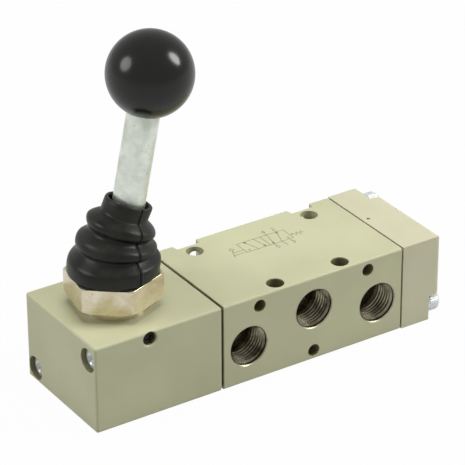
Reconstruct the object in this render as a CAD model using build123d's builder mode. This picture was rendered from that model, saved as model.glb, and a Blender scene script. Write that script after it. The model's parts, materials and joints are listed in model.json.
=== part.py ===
"""Hand lever air valve: 5/2 spool valve, G1/8 ports, lever with rubber boot, spring return.

Millimetres. The origin is the centre of the valve body's underside.
+X runs along the spool from the lever block to the spring end cap,
-Y is the side with the supply and exhaust ports, +Z is up.
"""

import os
from math import cos, radians, sin, sqrt, tan

from build123d import *

# ---------------------------------------------------------------- driving dimensions

# blocks
body_length = 50.0
body_depth = 31.0
body_height = 22.0
lever_block_length = 33.6
cap_length = 11.0
gasket_thickness = 0.5
gasket_inset = 0.45
edge_round = 0.6
cap_edge_round = 1.1
gasket_corner = 1.0
breather_radius = 0.45
breather_from_seam = 1.6
breather_off_centre = 1.0

# ports, G1/8
port_radius = 4.86
port_mouth_radius = 5.15
port_depth = 7.2
port_drill_radius = 2.6
front_port_pitch = 18.15
outer_port_height = 9.5
middle_port_height = 13.6
rear_port_pitch = 14.5

# mounting holes
side_hole_radius = 1.6
side_hole_spacing = 30.4
side_hole_height = 19.2
low_hole_height = 2.4
top_hole_radius = 2.15
front_top_hole_spacing = 18.2
front_top_hole_from_face = 2.9
rear_top_hole_spacing = 32.6
rear_top_hole_from_face = 5.1
notch_depth = 2.2
notch_bottom_width = 6.0
notch_mouth_width = 7.0

# spool stack
spool_height = 11.0
bore_radius = 5.8
spool_radius = 4.0
waist_radius = 2.6
seal_width = 2.0
seal_bevel = 0.3
seal_squeeze_gap = 0.06
spool_clearance = 0.05
end_seal_from_body_end = 1.9
spool_left_overhang = 1.6
spool_right_overhang = 0.4
groove_ramp = 1.0
inner_seal_x = 3.6
outer_seal_x = 12.9
valve_opening = 1.9
spacer_wall = 1.1
spacer_window_radius = 2.2
spacer_windows = 4
spacer_window_edge = 0.7

# return spring
spring_wire_radius = 0.35
spring_mean_radius = 2.2
spring_turns = 7
spring_pocket_radius = 2.9
spring_pocket_depth = 10.0
cap_pocket_radius = 5.0
cap_pocket_depth = 9.0
spring_seat_thickness = 1.2
spring_guide_length = 1.5
spring_guide_gap = 0.15
spring_guide_taper = 8.0

# lever
pivot_from_block_end = 14.4
pivot_above_block = 3.0
lever_lean = 11.7
lever_travel = 23.4
pivot_ball_radius = 6.0
rod_radius = 3.8
neck_radius = 2.9
neck_length = 9.5
stem_radius = 2.4
stem_bury = 0.6
stem_taper_end = 8.6
pivot_pin_radius = 1.0
pivot_pin_length = 14.6
pin_clearance = 0.05
tip_ball_radius = 2.5
tip_neck_radius = 1.6
tip_clearance = 0.15
lever_reach = 52.8
knob_radius = 10.0
knob_flat_radius = 4.6
stud_radius = 3.0
stud_length = 9.0
insert_wall = 1.2
insert_spare = 1.0

# plunger that the lever pushes
plunger_radius = 4.0
plunger_clearance = 0.05
plunger_nose = 4.6
plunger_pin_radius = 1.5
plunger_pin_length = 7.0
plunger_pin_spare = 0.5
plunger_bevel = 0.6
plunger_eye_spare = 0.6
plunger_end_room = 1.2

# gland nut, seat and boot
nut_across_flats = 20.0
nut_gasket_thickness = 1.0
nut_gasket_inset = 0.7
nut_height = 7.6
nut_collar_height = 0.9
nut_collar_step = 0.1
nut_bevel_angle = 30.0
nut_top_flat_radius = 10.95
spigot_wall = 1.4
spigot_depth = 4.5
spigot_clearance = 0.05
seat_bore_wall = 0.6
seat_ledge_depth = 5.0
seat_ledge_step = 0.1
seat_ring_drop = 2.4
seat_ring_bore = 4.7
seat_clearance = 0.05
nut_mouth_radius = 4.7
nut_mouth_spare_angle = 3.0
boot_lip_radius = 7.6
boot_lip_height = 1.5
boot_wall = 1.0
boot_height = 16.4
boot_collar_start = 13.2
boot_collar_lean = 20.0
boot_lean_start = 2.0
boot_lean_end = 11.4
boot_bend_power = 1.7
boot_gap = 0.1
collar_radius = 5.6
collar_wall = 0.8
boot_folds = [(0.0, 10.3), (1.2, 10.7), (3.2, 10.7), (5.0, 8.6), (6.9, 9.3), (9.0, 7.4),
              (11.2, 8.2), (boot_collar_start, collar_radius)]
nut_turn = 21.0

# screws
screw_radius = 1.5
screw_clearance = 0.15
thread_engagement = 4.2
thread_runout = 0.4
thread_gap = 0.05
press_gap = 0.02
cut_overrun = 1.0
cap_screw_inset = 3.3
cap_notch_size = 6.5
cap_notch_depth = 3.0
cap_head_radius = 2.75
cap_head_height = 3.0
cap_head_bevel = 0.4
cap_washer_thickness = 0.9
cap_washer_radius = 2.7
lever_screw_inset = 3.4
lever_screw_from_top = 4.4
lever_shank_radius = 1.3
lever_head_radius = 2.7
lever_head_height = 1.9
lever_head_round = 0.7
lever_recess_radius = 2.95
lever_head_sink = 1.5
grub_radius = 1.6
grub_hole_radius = 1.7
grub_from_top = 1.9
grub_sink = 0.4
grub_seat_depth = 1.6
grub_point_radius = 0.9
grub_clearance = 0.05
grub_hole_bevel = 0.3
hex_socket_ratio = 0.5

# ---------------------------------------------------------------- places worked out

half_length = body_length / 2
half_depth = body_depth / 2
block_right = -half_length - gasket_thickness
block_left = block_right - lever_block_length
cap_left = half_length + gasket_thickness
cap_right = cap_left + cap_length
pivot_x = block_left + pivot_from_block_end
pivot_height = body_height + pivot_above_block
tip_arm = pivot_height - spool_height
tip_offset = tip_arm * sin(radians(lever_lean))
stroke = 2 * tip_offset
eye_x = pivot_x - tip_offset
end_seal_x = half_length - end_seal_from_body_end
seal_places = [-end_seal_x, -outer_seal_x, -inner_seal_x, inner_seal_x, outer_seal_x, end_seal_x]
spool_left = -end_seal_x - seal_width / 2 - spool_left_overhang
spool_right = end_seal_x + seal_width / 2 + spool_right_overhang
seat_bore_radius = pivot_ball_radius + seat_bore_wall
seat_ledge_height = body_height - seat_ledge_depth
seat_ring_top = pivot_height - seat_ring_drop
spigot_radius = seat_bore_radius + spigot_wall
spigot_bottom = body_height - spigot_depth
nut_bottom = body_height + nut_gasket_thickness
nut_top = nut_bottom + nut_height
grub_height = body_height - grub_from_top
lever_axis = Vector(sin(radians(lever_lean)), 0, cos(radians(lever_lean)))
pivot = Vector(pivot_x, 0, pivot_height)
lever_plane = Plane(origin=pivot, x_dir=(0, 1, 0), z_dir=lever_axis)
front = Plane(origin=(0, -half_depth, 0), x_dir=(1, 0, 0), z_dir=(0, -1, 0))
rear = Plane(origin=(0, half_depth, 0), x_dir=(-1, 0, 0), z_dir=(0, 1, 0))
cap_screws = [(-half_depth + cap_screw_inset, cap_screw_inset),
              (half_depth - cap_screw_inset, body_height - cap_screw_inset)]
lever_screws = [(-half_depth + lever_screw_inset, body_height - lever_screw_from_top),
                (half_depth - lever_screw_inset, lever_screw_inset)]
front_ports = [(-front_port_pitch, outer_port_height), (0, middle_port_height),
               (front_port_pitch, outer_port_height)]
rear_ports = [(-rear_port_pitch / 2, spool_height), (rear_port_pitch / 2, spool_height)]


def across(x):
    """Plane across the spool axis at x, facing +X, with local x along Y and local y up."""
    return Plane(origin=(x, 0, 0), x_dir=(0, 1, 0), z_dir=(1, 0, 0))


def spool_line(x):
    """Plane across the spool axis at x, centred on the spool."""
    return Plane(origin=(x, 0, spool_height), x_dir=(0, 1, 0), z_dir=(1, 0, 0))


def finish(piece, label):
    """Name one finished piece and write it."""
    piece.part.label = label
    export_step(piece.part, "parts/" + label + ".step")


os.makedirs("parts", exist_ok=True)

# ---------------------------------------------------------------- valve body

with BuildPart() as valve_body:
    with BuildSketch(across(-half_length)):
        with Locations((0, body_height / 2)):
            Rectangle(body_depth, body_height)
    extrude(amount=body_length)
    fillet(valve_body.edges().filter_by(Axis.X), radius=edge_round)
    # flared notches up the rear face beside the mounting holes
    with BuildSketch(Plane.XY):
        for side in (-1, 1):
            centre = side * rear_top_hole_spacing / 2
            with BuildLine():
                Polyline(
                    (centre - notch_mouth_width / 2, half_depth),
                    (centre - notch_bottom_width / 2, half_depth - notch_depth),
                    (centre + notch_bottom_width / 2, half_depth - notch_depth),
                    (centre + notch_mouth_width / 2, half_depth),
                    close=True,
                )
            make_face()
    extrude(amount=body_height, mode=Mode.SUBTRACT)
    # spool bore from end to end
    with BuildSketch(spool_line(-half_length)):
        Circle(bore_radius)
    extrude(amount=body_length, mode=Mode.SUBTRACT)
    # threaded ports with drilled passages into the bore
    for face_plane, places in ((front, front_ports), (rear, rear_ports)):
        with BuildSketch(face_plane):
            with Locations(*places):
                Circle(port_radius)
        extrude(amount=-port_depth, mode=Mode.SUBTRACT)
        with BuildSketch(face_plane):
            with Locations(*places):
                Circle(port_mouth_radius)
        extrude(amount=-(port_mouth_radius - port_radius), taper=45, mode=Mode.SUBTRACT)
        with BuildSketch(face_plane.offset(-port_depth)):
            with Locations(*places):
                Circle(port_drill_radius)
        extrude(amount=-(half_depth - port_depth - waist_radius), mode=Mode.SUBTRACT)
    # side mounting holes, front to rear
    with BuildSketch(front):
        with Locations((-side_hole_spacing / 2, side_hole_height),
                       (side_hole_spacing / 2, side_hole_height), (0, low_hole_height)):
            Circle(side_hole_radius)
    extrude(amount=-body_depth, mode=Mode.SUBTRACT)
    # vertical mounting holes, top to bottom
    with BuildSketch(Plane.XY):
        front_y = -half_depth + front_top_hole_from_face
        rear_y = half_depth - rear_top_hole_from_face
        with Locations((-front_top_hole_spacing / 2, front_y), (front_top_hole_spacing / 2, front_y),
                       (-rear_top_hole_spacing / 2, rear_y), (rear_top_hole_spacing / 2, rear_y)):
            Circle(top_hole_radius)
    extrude(amount=body_height, mode=Mode.SUBTRACT)
    # threads for the cap screws and the lever block screws
    with BuildSketch(across(half_length)):
        with Locations(*cap_screws):
            Circle(screw_radius + thread_gap)
    extrude(amount=-(thread_engagement + thread_runout), mode=Mode.SUBTRACT)
    with BuildSketch(across(-half_length)):
        with Locations(*lever_screws):
            Circle(screw_radius + thread_gap)
    extrude(amount=thread_engagement + thread_runout, mode=Mode.SUBTRACT)
finish(valve_body, "valve_body")

# ---------------------------------------------------------------- spacers and seals in the bore

spacer_radius = bore_radius - spool_clearance
seal_inner_radius = spool_radius + spool_clearance
for number in range(5):
    start = seal_places[number] + seal_width / 2 + seal_squeeze_gap
    end = seal_places[number + 1] - seal_width / 2 - seal_squeeze_gap
    with BuildPart() as spacer:
        with BuildSketch(spool_line(start)):
            Circle(spacer_radius)
            Circle(spacer_radius - spacer_wall, mode=Mode.SUBTRACT)
        extrude(amount=end - start)
        window_radius = min(spacer_window_radius, (end - start) / 2 - spacer_window_edge)
        window_plane = Plane(origin=((start + end) / 2, 0, spool_height), x_dir=(0, 1, 0), z_dir=(1, 0, 0))
        with Locations(window_plane):
            with PolarLocations(0, spacer_windows):
                Cylinder(window_radius, spacer_radius + cut_overrun, rotation=(0, 90, 0),
                         align=(Align.CENTER, Align.CENTER, Align.MIN), mode=Mode.SUBTRACT)
    finish(spacer, "spacer_" + str(number + 1))

for number, place in enumerate(seal_places):
    with BuildPart() as spool_seal:
        with BuildSketch(spool_line(place - seal_width / 2)):
            Circle(spacer_radius)
            Circle(seal_inner_radius, mode=Mode.SUBTRACT)
        extrude(amount=seal_width)
        chamfer(spool_seal.edges().filter_by(GeomType.CIRCLE), length=seal_bevel)
    finish(spool_seal, "spool_seal_" + str(number + 1))

# ---------------------------------------------------------------- spool

left_groove = (-outer_seal_x - valve_opening, -inner_seal_x - stroke + valve_opening)
right_groove = (inner_seal_x - valve_opening, outer_seal_x - stroke + valve_opening)
pin_hole_radius = plunger_pin_radius + press_gap
with BuildPart() as spool:
    with BuildSketch(Plane.XZ):
        with BuildLine():
            Polyline(
                (spool_left, spool_height),
                (spool_left, spool_height + spool_radius),
                (left_groove[0], spool_height + spool_radius),
                (left_groove[0] + groove_ramp, spool_height + waist_radius),
                (left_groove[1] - groove_ramp, spool_height + waist_radius),
                (left_groove[1], spool_height + spool_radius),
                (right_groove[0], spool_height + spool_radius),
                (right_groove[0] + groove_ramp, spool_height + waist_radius),
                (right_groove[1] - groove_ramp, spool_height + waist_radius),
                (right_groove[1], spool_height + spool_radius),
                (spool_right, spool_height + spool_radius),
                (spool_right, spool_height),
                close=True,
            )
        make_face()
    revolve(axis=Axis((0, 0, spool_height), (1, 0, 0)))
    with BuildSketch(spool_line(spool_right)):
        Circle(spring_pocket_radius)
    extrude(amount=-spring_pocket_depth, mode=Mode.SUBTRACT)
    with BuildSketch(spool_line(spool_left)):
        Circle(pin_hole_radius)
    extrude(amount=plunger_pin_length + plunger_pin_spare, mode=Mode.SUBTRACT)
finish(spool, "spool")

plunger_left = eye_x - plunger_nose
with BuildPart() as actuator_plunger:
    with BuildSketch(spool_line(plunger_left)):
        Circle(plunger_radius)
    extrude(amount=spool_left - plunger_left)
    chamfer(actuator_plunger.edges().filter_by(GeomType.CIRCLE).group_by(Axis.X)[0], length=plunger_bevel)
    # pin that presses into the spool
    with BuildSketch(spool_line(spool_left)):
        Circle(plunger_pin_radius)
    extrude(amount=plunger_pin_length)
    # upright eye for the lever's tip ball
    with BuildSketch(Plane.XY.offset(spool_height + plunger_radius)):
        with Locations((eye_x, 0)):
            Circle(tip_ball_radius + tip_clearance)
    extrude(amount=-(plunger_radius + tip_ball_radius + plunger_eye_spare), mode=Mode.SUBTRACT)
finish(actuator_plunger, "actuator_plunger")

# ---------------------------------------------------------------- end cap, spring and gasket

pocket_end = cap_left + cap_pocket_depth
with BuildPart() as end_cap:
    with BuildSketch(across(cap_left)):
        with Locations((0, body_height / 2)):
            Rectangle(body_depth, body_height)
    extrude(amount=cap_length)
    fillet(end_cap.faces().sort_by(Axis.X)[-1].edges(), radius=cap_edge_round)
    # corner steps for the screw heads
    corner = half_depth - cap_notch_size / 2
    with BuildSketch(across(cap_right)):
        with Locations((-corner, cap_notch_size / 2), (corner, body_height - cap_notch_size / 2)):
            Rectangle(cap_notch_size, cap_notch_size)
    extrude(amount=-cap_notch_depth, mode=Mode.SUBTRACT)
    with BuildSketch(across(cap_right)):
        with Locations(*cap_screws):
            Circle(screw_radius + screw_clearance)
    extrude(amount=-cap_length, mode=Mode.SUBTRACT)
    with BuildSketch(spool_line(cap_left)):
        Circle(cap_pocket_radius)
    extrude(amount=cap_pocket_depth, mode=Mode.SUBTRACT)
    # breather of the spring chamber
    with BuildSketch(Plane.XY.offset(body_height)):
        with Locations((cap_left + breather_from_seam, breather_off_centre)):
            Circle(breather_radius)
    extrude(amount=-(body_height - spool_height), mode=Mode.SUBTRACT)
finish(end_cap, "end_cap")

with BuildPart() as end_cap_gasket:
    with BuildSketch(across(half_length)):
        with Locations((0, body_height / 2)):
            RectangleRounded(body_depth - 2 * gasket_inset, body_height - 2 * gasket_inset, gasket_corner)
        with Locations((0, spool_height)):
            Circle(cap_pocket_radius, mode=Mode.SUBTRACT)
        with Locations(*cap_screws):
            Circle(screw_radius + screw_clearance, mode=Mode.SUBTRACT)
    extrude(amount=gasket_thickness)
finish(end_cap_gasket, "end_cap_gasket")

washer_seat = cap_right - cap_notch_depth
head_seat = washer_seat + cap_washer_thickness
with BuildPart() as end_cap_washers:
    with BuildSketch(across(washer_seat)):
        with Locations(*cap_screws):
            Circle(cap_washer_radius)
            Circle(screw_radius + screw_clearance, mode=Mode.SUBTRACT)
    extrude(amount=cap_washer_thickness)
finish(end_cap_washers, "end_cap_washers")

with BuildPart() as end_cap_screws:
    with BuildSketch(across(head_seat)):
        with Locations(*cap_screws):
            Circle(cap_head_radius)
    extrude(amount=cap_head_height)
    chamfer(end_cap_screws.edges().group_by(Axis.X)[-1], length=cap_head_bevel)
    with BuildSketch(across(head_seat)):
        with Locations(*cap_screws):
            Circle(screw_radius)
    extrude(amount=-(head_seat - half_length + thread_engagement))
    with BuildSketch(across(head_seat + cap_head_height)):
        with Locations(*cap_screws):
            RegularPolygon(cap_head_radius * hex_socket_ratio, 6)
    extrude(amount=-cap_head_height * hex_socket_ratio, mode=Mode.SUBTRACT)
finish(end_cap_screws, "end_cap_screws")

with BuildPart() as spring_seat:
    with BuildSketch(spool_line(pocket_end)):
        Circle(cap_pocket_radius - spool_clearance)
    extrude(amount=-spring_seat_thickness)
    with BuildSketch(spool_line(pocket_end - spring_seat_thickness)):
        Circle(spring_mean_radius - spring_wire_radius - spring_guide_gap)
    extrude(amount=-spring_guide_length, taper=spring_guide_taper)
finish(spring_seat, "spring_seat")

spring_start = spool_right - spring_pocket_depth + spring_wire_radius + press_gap
spring_end = pocket_end - spring_seat_thickness - spring_wire_radius - press_gap
spring_length = spring_end - spring_start
with BuildPart() as return_spring:
    with BuildLine():
        coil = Helix(
            pitch=spring_length / spring_turns,
            height=spring_length,
            radius=spring_mean_radius,
            center=(spring_start, 0, spool_height),
            direction=(1, 0, 0),
        )
    with BuildSketch(Plane(origin=coil @ 0, z_dir=coil % 0)):
        Circle(spring_wire_radius)
    sweep(path=coil, is_frenet=True)
finish(return_spring, "return_spring")

# ---------------------------------------------------------------- lever block

spigot_hole = spigot_radius + spigot_clearance
plunger_bore = plunger_radius + plunger_clearance
ledge_hole = seat_ring_bore - seat_ledge_step
bore_left = plunger_left - plunger_end_room
with BuildPart() as lever_housing:
    with BuildSketch(across(block_left)):
        with Locations((0, body_height / 2)):
            Rectangle(body_depth, body_height)
    extrude(amount=lever_block_length)
    fillet(lever_housing.edges(), radius=edge_round)
    # bore for the plunger
    with BuildSketch(spool_line(bore_left)):
        Circle(plunger_bore)
    extrude(amount=block_right - bore_left, mode=Mode.SUBTRACT)
    # stepped well for the seat ring and the nut's spigot
    with BuildSketch(Plane.XY.offset(spool_height)):
        with Locations((pivot_x, 0)):
            Circle(ledge_hole)
    extrude(amount=body_height - spool_height, mode=Mode.SUBTRACT)
    with BuildSketch(Plane.XY.offset(seat_ledge_height)):
        with Locations((pivot_x, 0)):
            Circle(spigot_hole)
    extrude(amount=body_height - seat_ledge_height, mode=Mode.SUBTRACT)
    # stepped hole for the locking screw; its point passes above the long screw
    with BuildSketch(front):
        with Locations((pivot_x, grub_height)):
            Circle(grub_hole_radius)
    extrude(amount=-grub_seat_depth, mode=Mode.SUBTRACT)
    with BuildSketch(front):
        with Locations((pivot_x, grub_height)):
            Circle(grub_point_radius + grub_clearance)
    extrude(amount=-(half_depth - spigot_radius / 2), mode=Mode.SUBTRACT)
    with BuildSketch(front):
        with Locations((pivot_x, grub_height)):
            Circle(grub_hole_radius + grub_hole_bevel)
    extrude(amount=-grub_hole_bevel, taper=45, mode=Mode.SUBTRACT)
    # long screws, with sunk heads
    with BuildSketch(across(block_left)):
        with Locations(*lever_screws):
            Circle(lever_shank_radius + screw_clearance)
    extrude(amount=lever_block_length, mode=Mode.SUBTRACT)
    with BuildSketch(across(block_left)):
        with Locations(*lever_screws):
            Circle(lever_recess_radius)
    extrude(amount=lever_head_sink + lever_head_height, mode=Mode.SUBTRACT)
finish(lever_housing, "lever_housing")

with BuildPart() as housing_gasket:
    with BuildSketch(across(block_right)):
        with Locations((0, body_height / 2)):
            RectangleRounded(body_depth - 2 * gasket_inset, body_height - 2 * gasket_inset, gasket_corner)
        with Locations((0, spool_height)):
            Circle(plunger_bore, mode=Mode.SUBTRACT)
        with Locations(*lever_screws):
            Circle(screw_radius + screw_clearance, mode=Mode.SUBTRACT)
    extrude(amount=gasket_thickness)
finish(housing_gasket, "housing_gasket")

lever_head_seat = block_left + lever_head_sink + lever_head_height
with BuildPart() as housing_screws:
    with BuildSketch(across(lever_head_seat)):
        with Locations(*lever_screws):
            Circle(lever_head_radius)
    extrude(amount=-lever_head_height)
    fillet(housing_screws.edges().group_by(Axis.X)[0], radius=lever_head_round)
    with BuildSketch(across(lever_head_seat)):
        with Locations(*lever_screws):
            Circle(lever_shank_radius)
    extrude(amount=block_right - lever_head_seat)
    with BuildSketch(across(block_right)):
        with Locations(*lever_screws):
            Circle(screw_radius)
    extrude(amount=gasket_thickness + thread_engagement)
finish(housing_screws, "housing_screws")

# ---------------------------------------------------------------- gland nut and its parts

across_corners = nut_across_flats / cos(radians(30))
with BuildPart() as gland_nut:
    with BuildSketch(Plane.XY.offset(nut_bottom)):
        with Locations((pivot_x, 0)):
            RegularPolygon(across_corners / 2, 6, rotation=nut_turn)
    extrude(amount=nut_top - nut_bottom)
    # corners bevelled by a turned profile, more below than above
    bevel = tan(radians(nut_bevel_angle))
    inner = nut_across_flats / 2 - nut_collar_step
    outer = across_corners / 2 + cut_overrun
    rise = (outer - inner) * bevel
    fall = (outer - nut_top_flat_radius) * bevel
    with BuildSketch(Plane.XZ):
        with BuildLine():
            Polyline(
                (pivot_x, nut_bottom),
                (pivot_x + inner, nut_bottom),
                (pivot_x + inner, nut_bottom + nut_collar_height),
                (pivot_x + outer, nut_bottom + nut_collar_height + rise),
                (pivot_x + outer, nut_top - fall),
                (pivot_x + nut_top_flat_radius, nut_top),
                (pivot_x, nut_top),
                close=True,
            )
        make_face()
    revolve(axis=Axis((pivot_x, 0, 0), (0, 0, 1)), mode=Mode.INTERSECT)
    # spigot below, boot lip above
    with BuildSketch(Plane.XY.offset(spigot_bottom)):
        with Locations((pivot_x, 0)):
            Circle(spigot_radius)
    extrude(amount=nut_bottom - spigot_bottom)
    with BuildSketch(Plane.XY.offset(nut_top)):
        with Locations((pivot_x, 0)):
            Circle(boot_lip_radius)
    extrude(amount=boot_lip_height)
    # seat bore, ball socket and flared mouth
    socket_radius = pivot_ball_radius + seat_clearance
    mouth_height = pivot_height + sqrt(socket_radius ** 2 - nut_mouth_radius ** 2)
    lip_top = nut_top + boot_lip_height
    flare_angle = radians(lever_lean + nut_mouth_spare_angle)
    flare_radius = nut_mouth_radius + (lip_top - mouth_height) * tan(flare_angle)
    with BuildSketch(Plane.XZ):
        with BuildLine():
            Polyline(
                (pivot_x, lip_top),
                (pivot_x, spigot_bottom),
                (pivot_x + seat_bore_radius, spigot_bottom),
                (pivot_x + seat_bore_radius, pivot_height),
                (pivot_x + socket_radius, pivot_height),
            )
            RadiusArc((pivot_x + socket_radius, pivot_height),
                      (pivot_x + nut_mouth_radius, mouth_height), -socket_radius)
            Polyline(
                (pivot_x + nut_mouth_radius, mouth_height),
                (pivot_x + flare_radius, lip_top),
                (pivot_x, lip_top),
            )
        make_face()
    revolve(axis=Axis((pivot_x, 0, 0), (0, 0, 1)), mode=Mode.SUBTRACT)
    # inside grooves, open below, that the pivot pin rises into
    groove = pivot_pin_radius + pin_clearance
    groove_length = pivot_pin_length + 4 * pin_clearance
    with BuildSketch(Plane.XY.offset(spigot_bottom)):
        with Locations((pivot_x, 0)):
            Rectangle(2 * groove, groove_length)
    extrude(amount=pivot_height - spigot_bottom, mode=Mode.SUBTRACT)
    with Locations(pivot):
        Cylinder(groove, groove_length, rotation=(90, 0, 0), mode=Mode.SUBTRACT)
finish(gland_nut, "gland_nut")

with BuildPart() as nut_gasket:
    with BuildSketch(Plane.XY.offset(body_height)):
        with Locations((pivot_x, 0)):
            Circle(nut_across_flats / 2 - nut_gasket_inset)
            Circle(spigot_hole, mode=Mode.SUBTRACT)
    extrude(amount=nut_bottom - body_height)
finish(nut_gasket, "nut_gasket")

with BuildPart() as nut_grub_screw:
    with BuildSketch(front.offset(-grub_sink)):
        with Locations((pivot_x, grub_height)):
            Circle(grub_radius)
    extrude(amount=-(grub_seat_depth - grub_sink - grub_clearance))
    with BuildSketch(front.offset(-grub_sink)):
        with Locations((pivot_x, grub_height)):
            Circle(grub_point_radius)
    extrude(amount=-(half_depth - grub_sink - spigot_radius - grub_clearance))
    with BuildSketch(front.offset(-grub_sink)):
        with Locations((pivot_x, grub_height)):
            RegularPolygon(grub_radius * hex_socket_ratio, 6)
    extrude(amount=-grub_seat_depth / 2, mode=Mode.SUBTRACT)
finish(nut_grub_screw, "nut_grub_screw")

with BuildPart() as ball_seat_ring:
    with BuildSketch(Plane.XY.offset(seat_ledge_height)):
        with Locations((pivot_x, 0)):
            Circle(seat_bore_radius - seat_clearance)
            Circle(seat_ring_bore, mode=Mode.SUBTRACT)
    extrude(amount=seat_ring_top - seat_ledge_height)
    with Locations(pivot):
        Sphere(socket_radius, mode=Mode.SUBTRACT)
finish(ball_seat_ring, "ball_seat_ring")

# ---------------------------------------------------------------- lever

insert_radius = stud_radius + insert_wall
knob_flat = lever_reach - sqrt(knob_radius ** 2 - knob_flat_radius ** 2)
with BuildPart() as lever_rod:
    with BuildSketch(lever_plane):
        Circle(neck_radius)
    extrude(amount=neck_length)
    with BuildSketch(lever_plane.offset(neck_length)):
        Circle(rod_radius)
    extrude(amount=knob_flat - neck_length)
    with BuildSketch(lever_plane.offset(knob_flat)):
        Circle(stud_radius)
    extrude(amount=stud_length)
    with Locations(lever_plane):
        Sphere(pivot_ball_radius, rotation=(0, 0, 45))
    # stem below the ball, thinned to a neck above the tip ball
    with BuildSketch(lever_plane.offset(stem_bury - pivot_ball_radius)):
        Circle(stem_radius)
    with BuildSketch(lever_plane.offset(-stem_taper_end)):
        Circle(tip_neck_radius)
    loft()
    with BuildSketch(lever_plane.offset(-stem_taper_end)):
        Circle(tip_neck_radius)
    extrude(amount=stem_taper_end - tip_arm)
    with Locations(lever_plane.offset(-tip_arm)):
        Sphere(tip_ball_radius)
    # cross hole for the pivot pin
    with Locations(pivot):
        Cylinder(pivot_pin_radius + press_gap, 2 * pivot_ball_radius + cut_overrun,
                 rotation=(90, 0, 0), mode=Mode.SUBTRACT)
finish(lever_rod, "lever_rod")

with BuildPart() as pivot_pin:
    with Locations(pivot):
        Cylinder(pivot_pin_radius, pivot_pin_length, rotation=(90, 0, 0))
finish(pivot_pin, "pivot_pin")

with BuildPart() as knob_insert:
    with BuildSketch(lever_plane.offset(knob_flat)):
        Circle(insert_radius)
        Circle(stud_radius + press_gap, mode=Mode.SUBTRACT)
    extrude(amount=stud_length + insert_spare)
finish(knob_insert, "knob_insert")

with BuildPart() as ball_knob:
    with Locations(lever_plane.offset(lever_reach)):
        Sphere(knob_radius)
    split(bisect_by=lever_plane.offset(knob_flat), keep=Keep.TOP)
    with BuildSketch(lever_plane.offset(knob_flat)):
        Circle(insert_radius + press_gap)
    extrude(amount=stud_length + insert_spare, mode=Mode.SUBTRACT)
finish(ball_knob, "ball_knob")

# ---------------------------------------------------------------- boot


def boot_plane(height):
    """Plane across the boot at a height above the nut; it bends over towards the lever."""
    run = (height - boot_lean_start) / (boot_lean_end - boot_lean_start)
    share = max(0.0, min(1.0, run))
    lean = radians(boot_collar_lean * share * share * (3 - 2 * share))
    collar_offset = (nut_top + boot_height - pivot_height) * tan(radians(lever_lean))
    centre = pivot_x + collar_offset * (height / boot_height) ** boot_bend_power
    return Plane(origin=(centre, 0, nut_top + boot_gap + height), x_dir=(0, 1, 0),
                 z_dir=(sin(lean), 0, cos(lean)))


with BuildPart() as boot:
    for height, radius in boot_folds:
        with BuildSketch(boot_plane(height)):
            Circle(radius)
    loft(ruled=True)
    for height, radius in boot_folds:
        with BuildSketch(boot_plane(height)):
            Circle(radius - boot_wall)
    loft(ruled=True, mode=Mode.SUBTRACT)
    for height in (boot_collar_start, boot_height):
        with BuildSketch(boot_plane(height)):
            Circle(collar_radius)
            Circle(collar_radius - collar_wall, mode=Mode.SUBTRACT)
    loft(ruled=True)
finish(boot, "boot")
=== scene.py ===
import json
from functools import partial
from math import cos, hypot, pi, radians, sin, tan

import bmesh
import bpy
from mathutils import Matrix, Vector


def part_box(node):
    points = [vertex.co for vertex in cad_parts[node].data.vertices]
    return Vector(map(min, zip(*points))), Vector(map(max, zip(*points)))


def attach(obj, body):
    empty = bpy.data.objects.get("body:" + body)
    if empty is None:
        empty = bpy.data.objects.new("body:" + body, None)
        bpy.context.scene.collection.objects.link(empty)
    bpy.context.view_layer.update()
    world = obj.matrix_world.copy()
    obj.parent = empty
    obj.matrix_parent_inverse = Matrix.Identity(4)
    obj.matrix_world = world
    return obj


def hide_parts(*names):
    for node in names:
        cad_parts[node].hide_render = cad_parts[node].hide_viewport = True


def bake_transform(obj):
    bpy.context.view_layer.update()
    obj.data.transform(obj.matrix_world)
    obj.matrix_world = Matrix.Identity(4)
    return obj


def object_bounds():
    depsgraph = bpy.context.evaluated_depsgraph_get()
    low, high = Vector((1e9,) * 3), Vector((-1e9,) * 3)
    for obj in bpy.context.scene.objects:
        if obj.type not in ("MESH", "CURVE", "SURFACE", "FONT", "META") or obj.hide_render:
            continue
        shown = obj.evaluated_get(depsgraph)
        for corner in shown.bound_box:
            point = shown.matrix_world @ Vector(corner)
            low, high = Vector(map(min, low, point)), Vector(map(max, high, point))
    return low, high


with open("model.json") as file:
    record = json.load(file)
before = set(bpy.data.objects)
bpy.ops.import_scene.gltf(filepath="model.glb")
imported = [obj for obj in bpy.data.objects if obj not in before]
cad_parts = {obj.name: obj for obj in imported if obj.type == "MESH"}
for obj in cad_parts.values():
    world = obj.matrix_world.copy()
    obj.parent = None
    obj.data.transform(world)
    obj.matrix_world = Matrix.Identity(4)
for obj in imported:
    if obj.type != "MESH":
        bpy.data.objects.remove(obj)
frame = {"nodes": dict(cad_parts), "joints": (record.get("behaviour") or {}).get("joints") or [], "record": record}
cad_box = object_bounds()
MM = 0.001

# ------------------------------------------------------------------ places read from the frame

KNOB_RADIUS = 10.0 * MM

joints = {joint["name"]: joint for joint in frame["joints"]}
mounts = {mount["name"]: mount for mount in frame["record"]["mounts"]}
pivot = Vector(joints["lever_swing"]["pos_m"])
knob_low, knob_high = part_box("ball_knob")
knob_centre = Vector(((knob_low.x + knob_high.x) / 2, 0, knob_high.z - KNOB_RADIUS))
lever_line = (knob_centre - pivot).normalized()
block_low, block_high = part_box("lever_housing")
body_low, body_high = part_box("valve_body")
nut_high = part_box("gland_nut")[1]
grub_low, grub_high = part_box("nut_grub_screw")
block_screw_low, block_screw_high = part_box("housing_screws")
cap_screw_low, cap_screw_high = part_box("end_cap_screws")


# ------------------------------------------------------------------ small helpers

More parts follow.
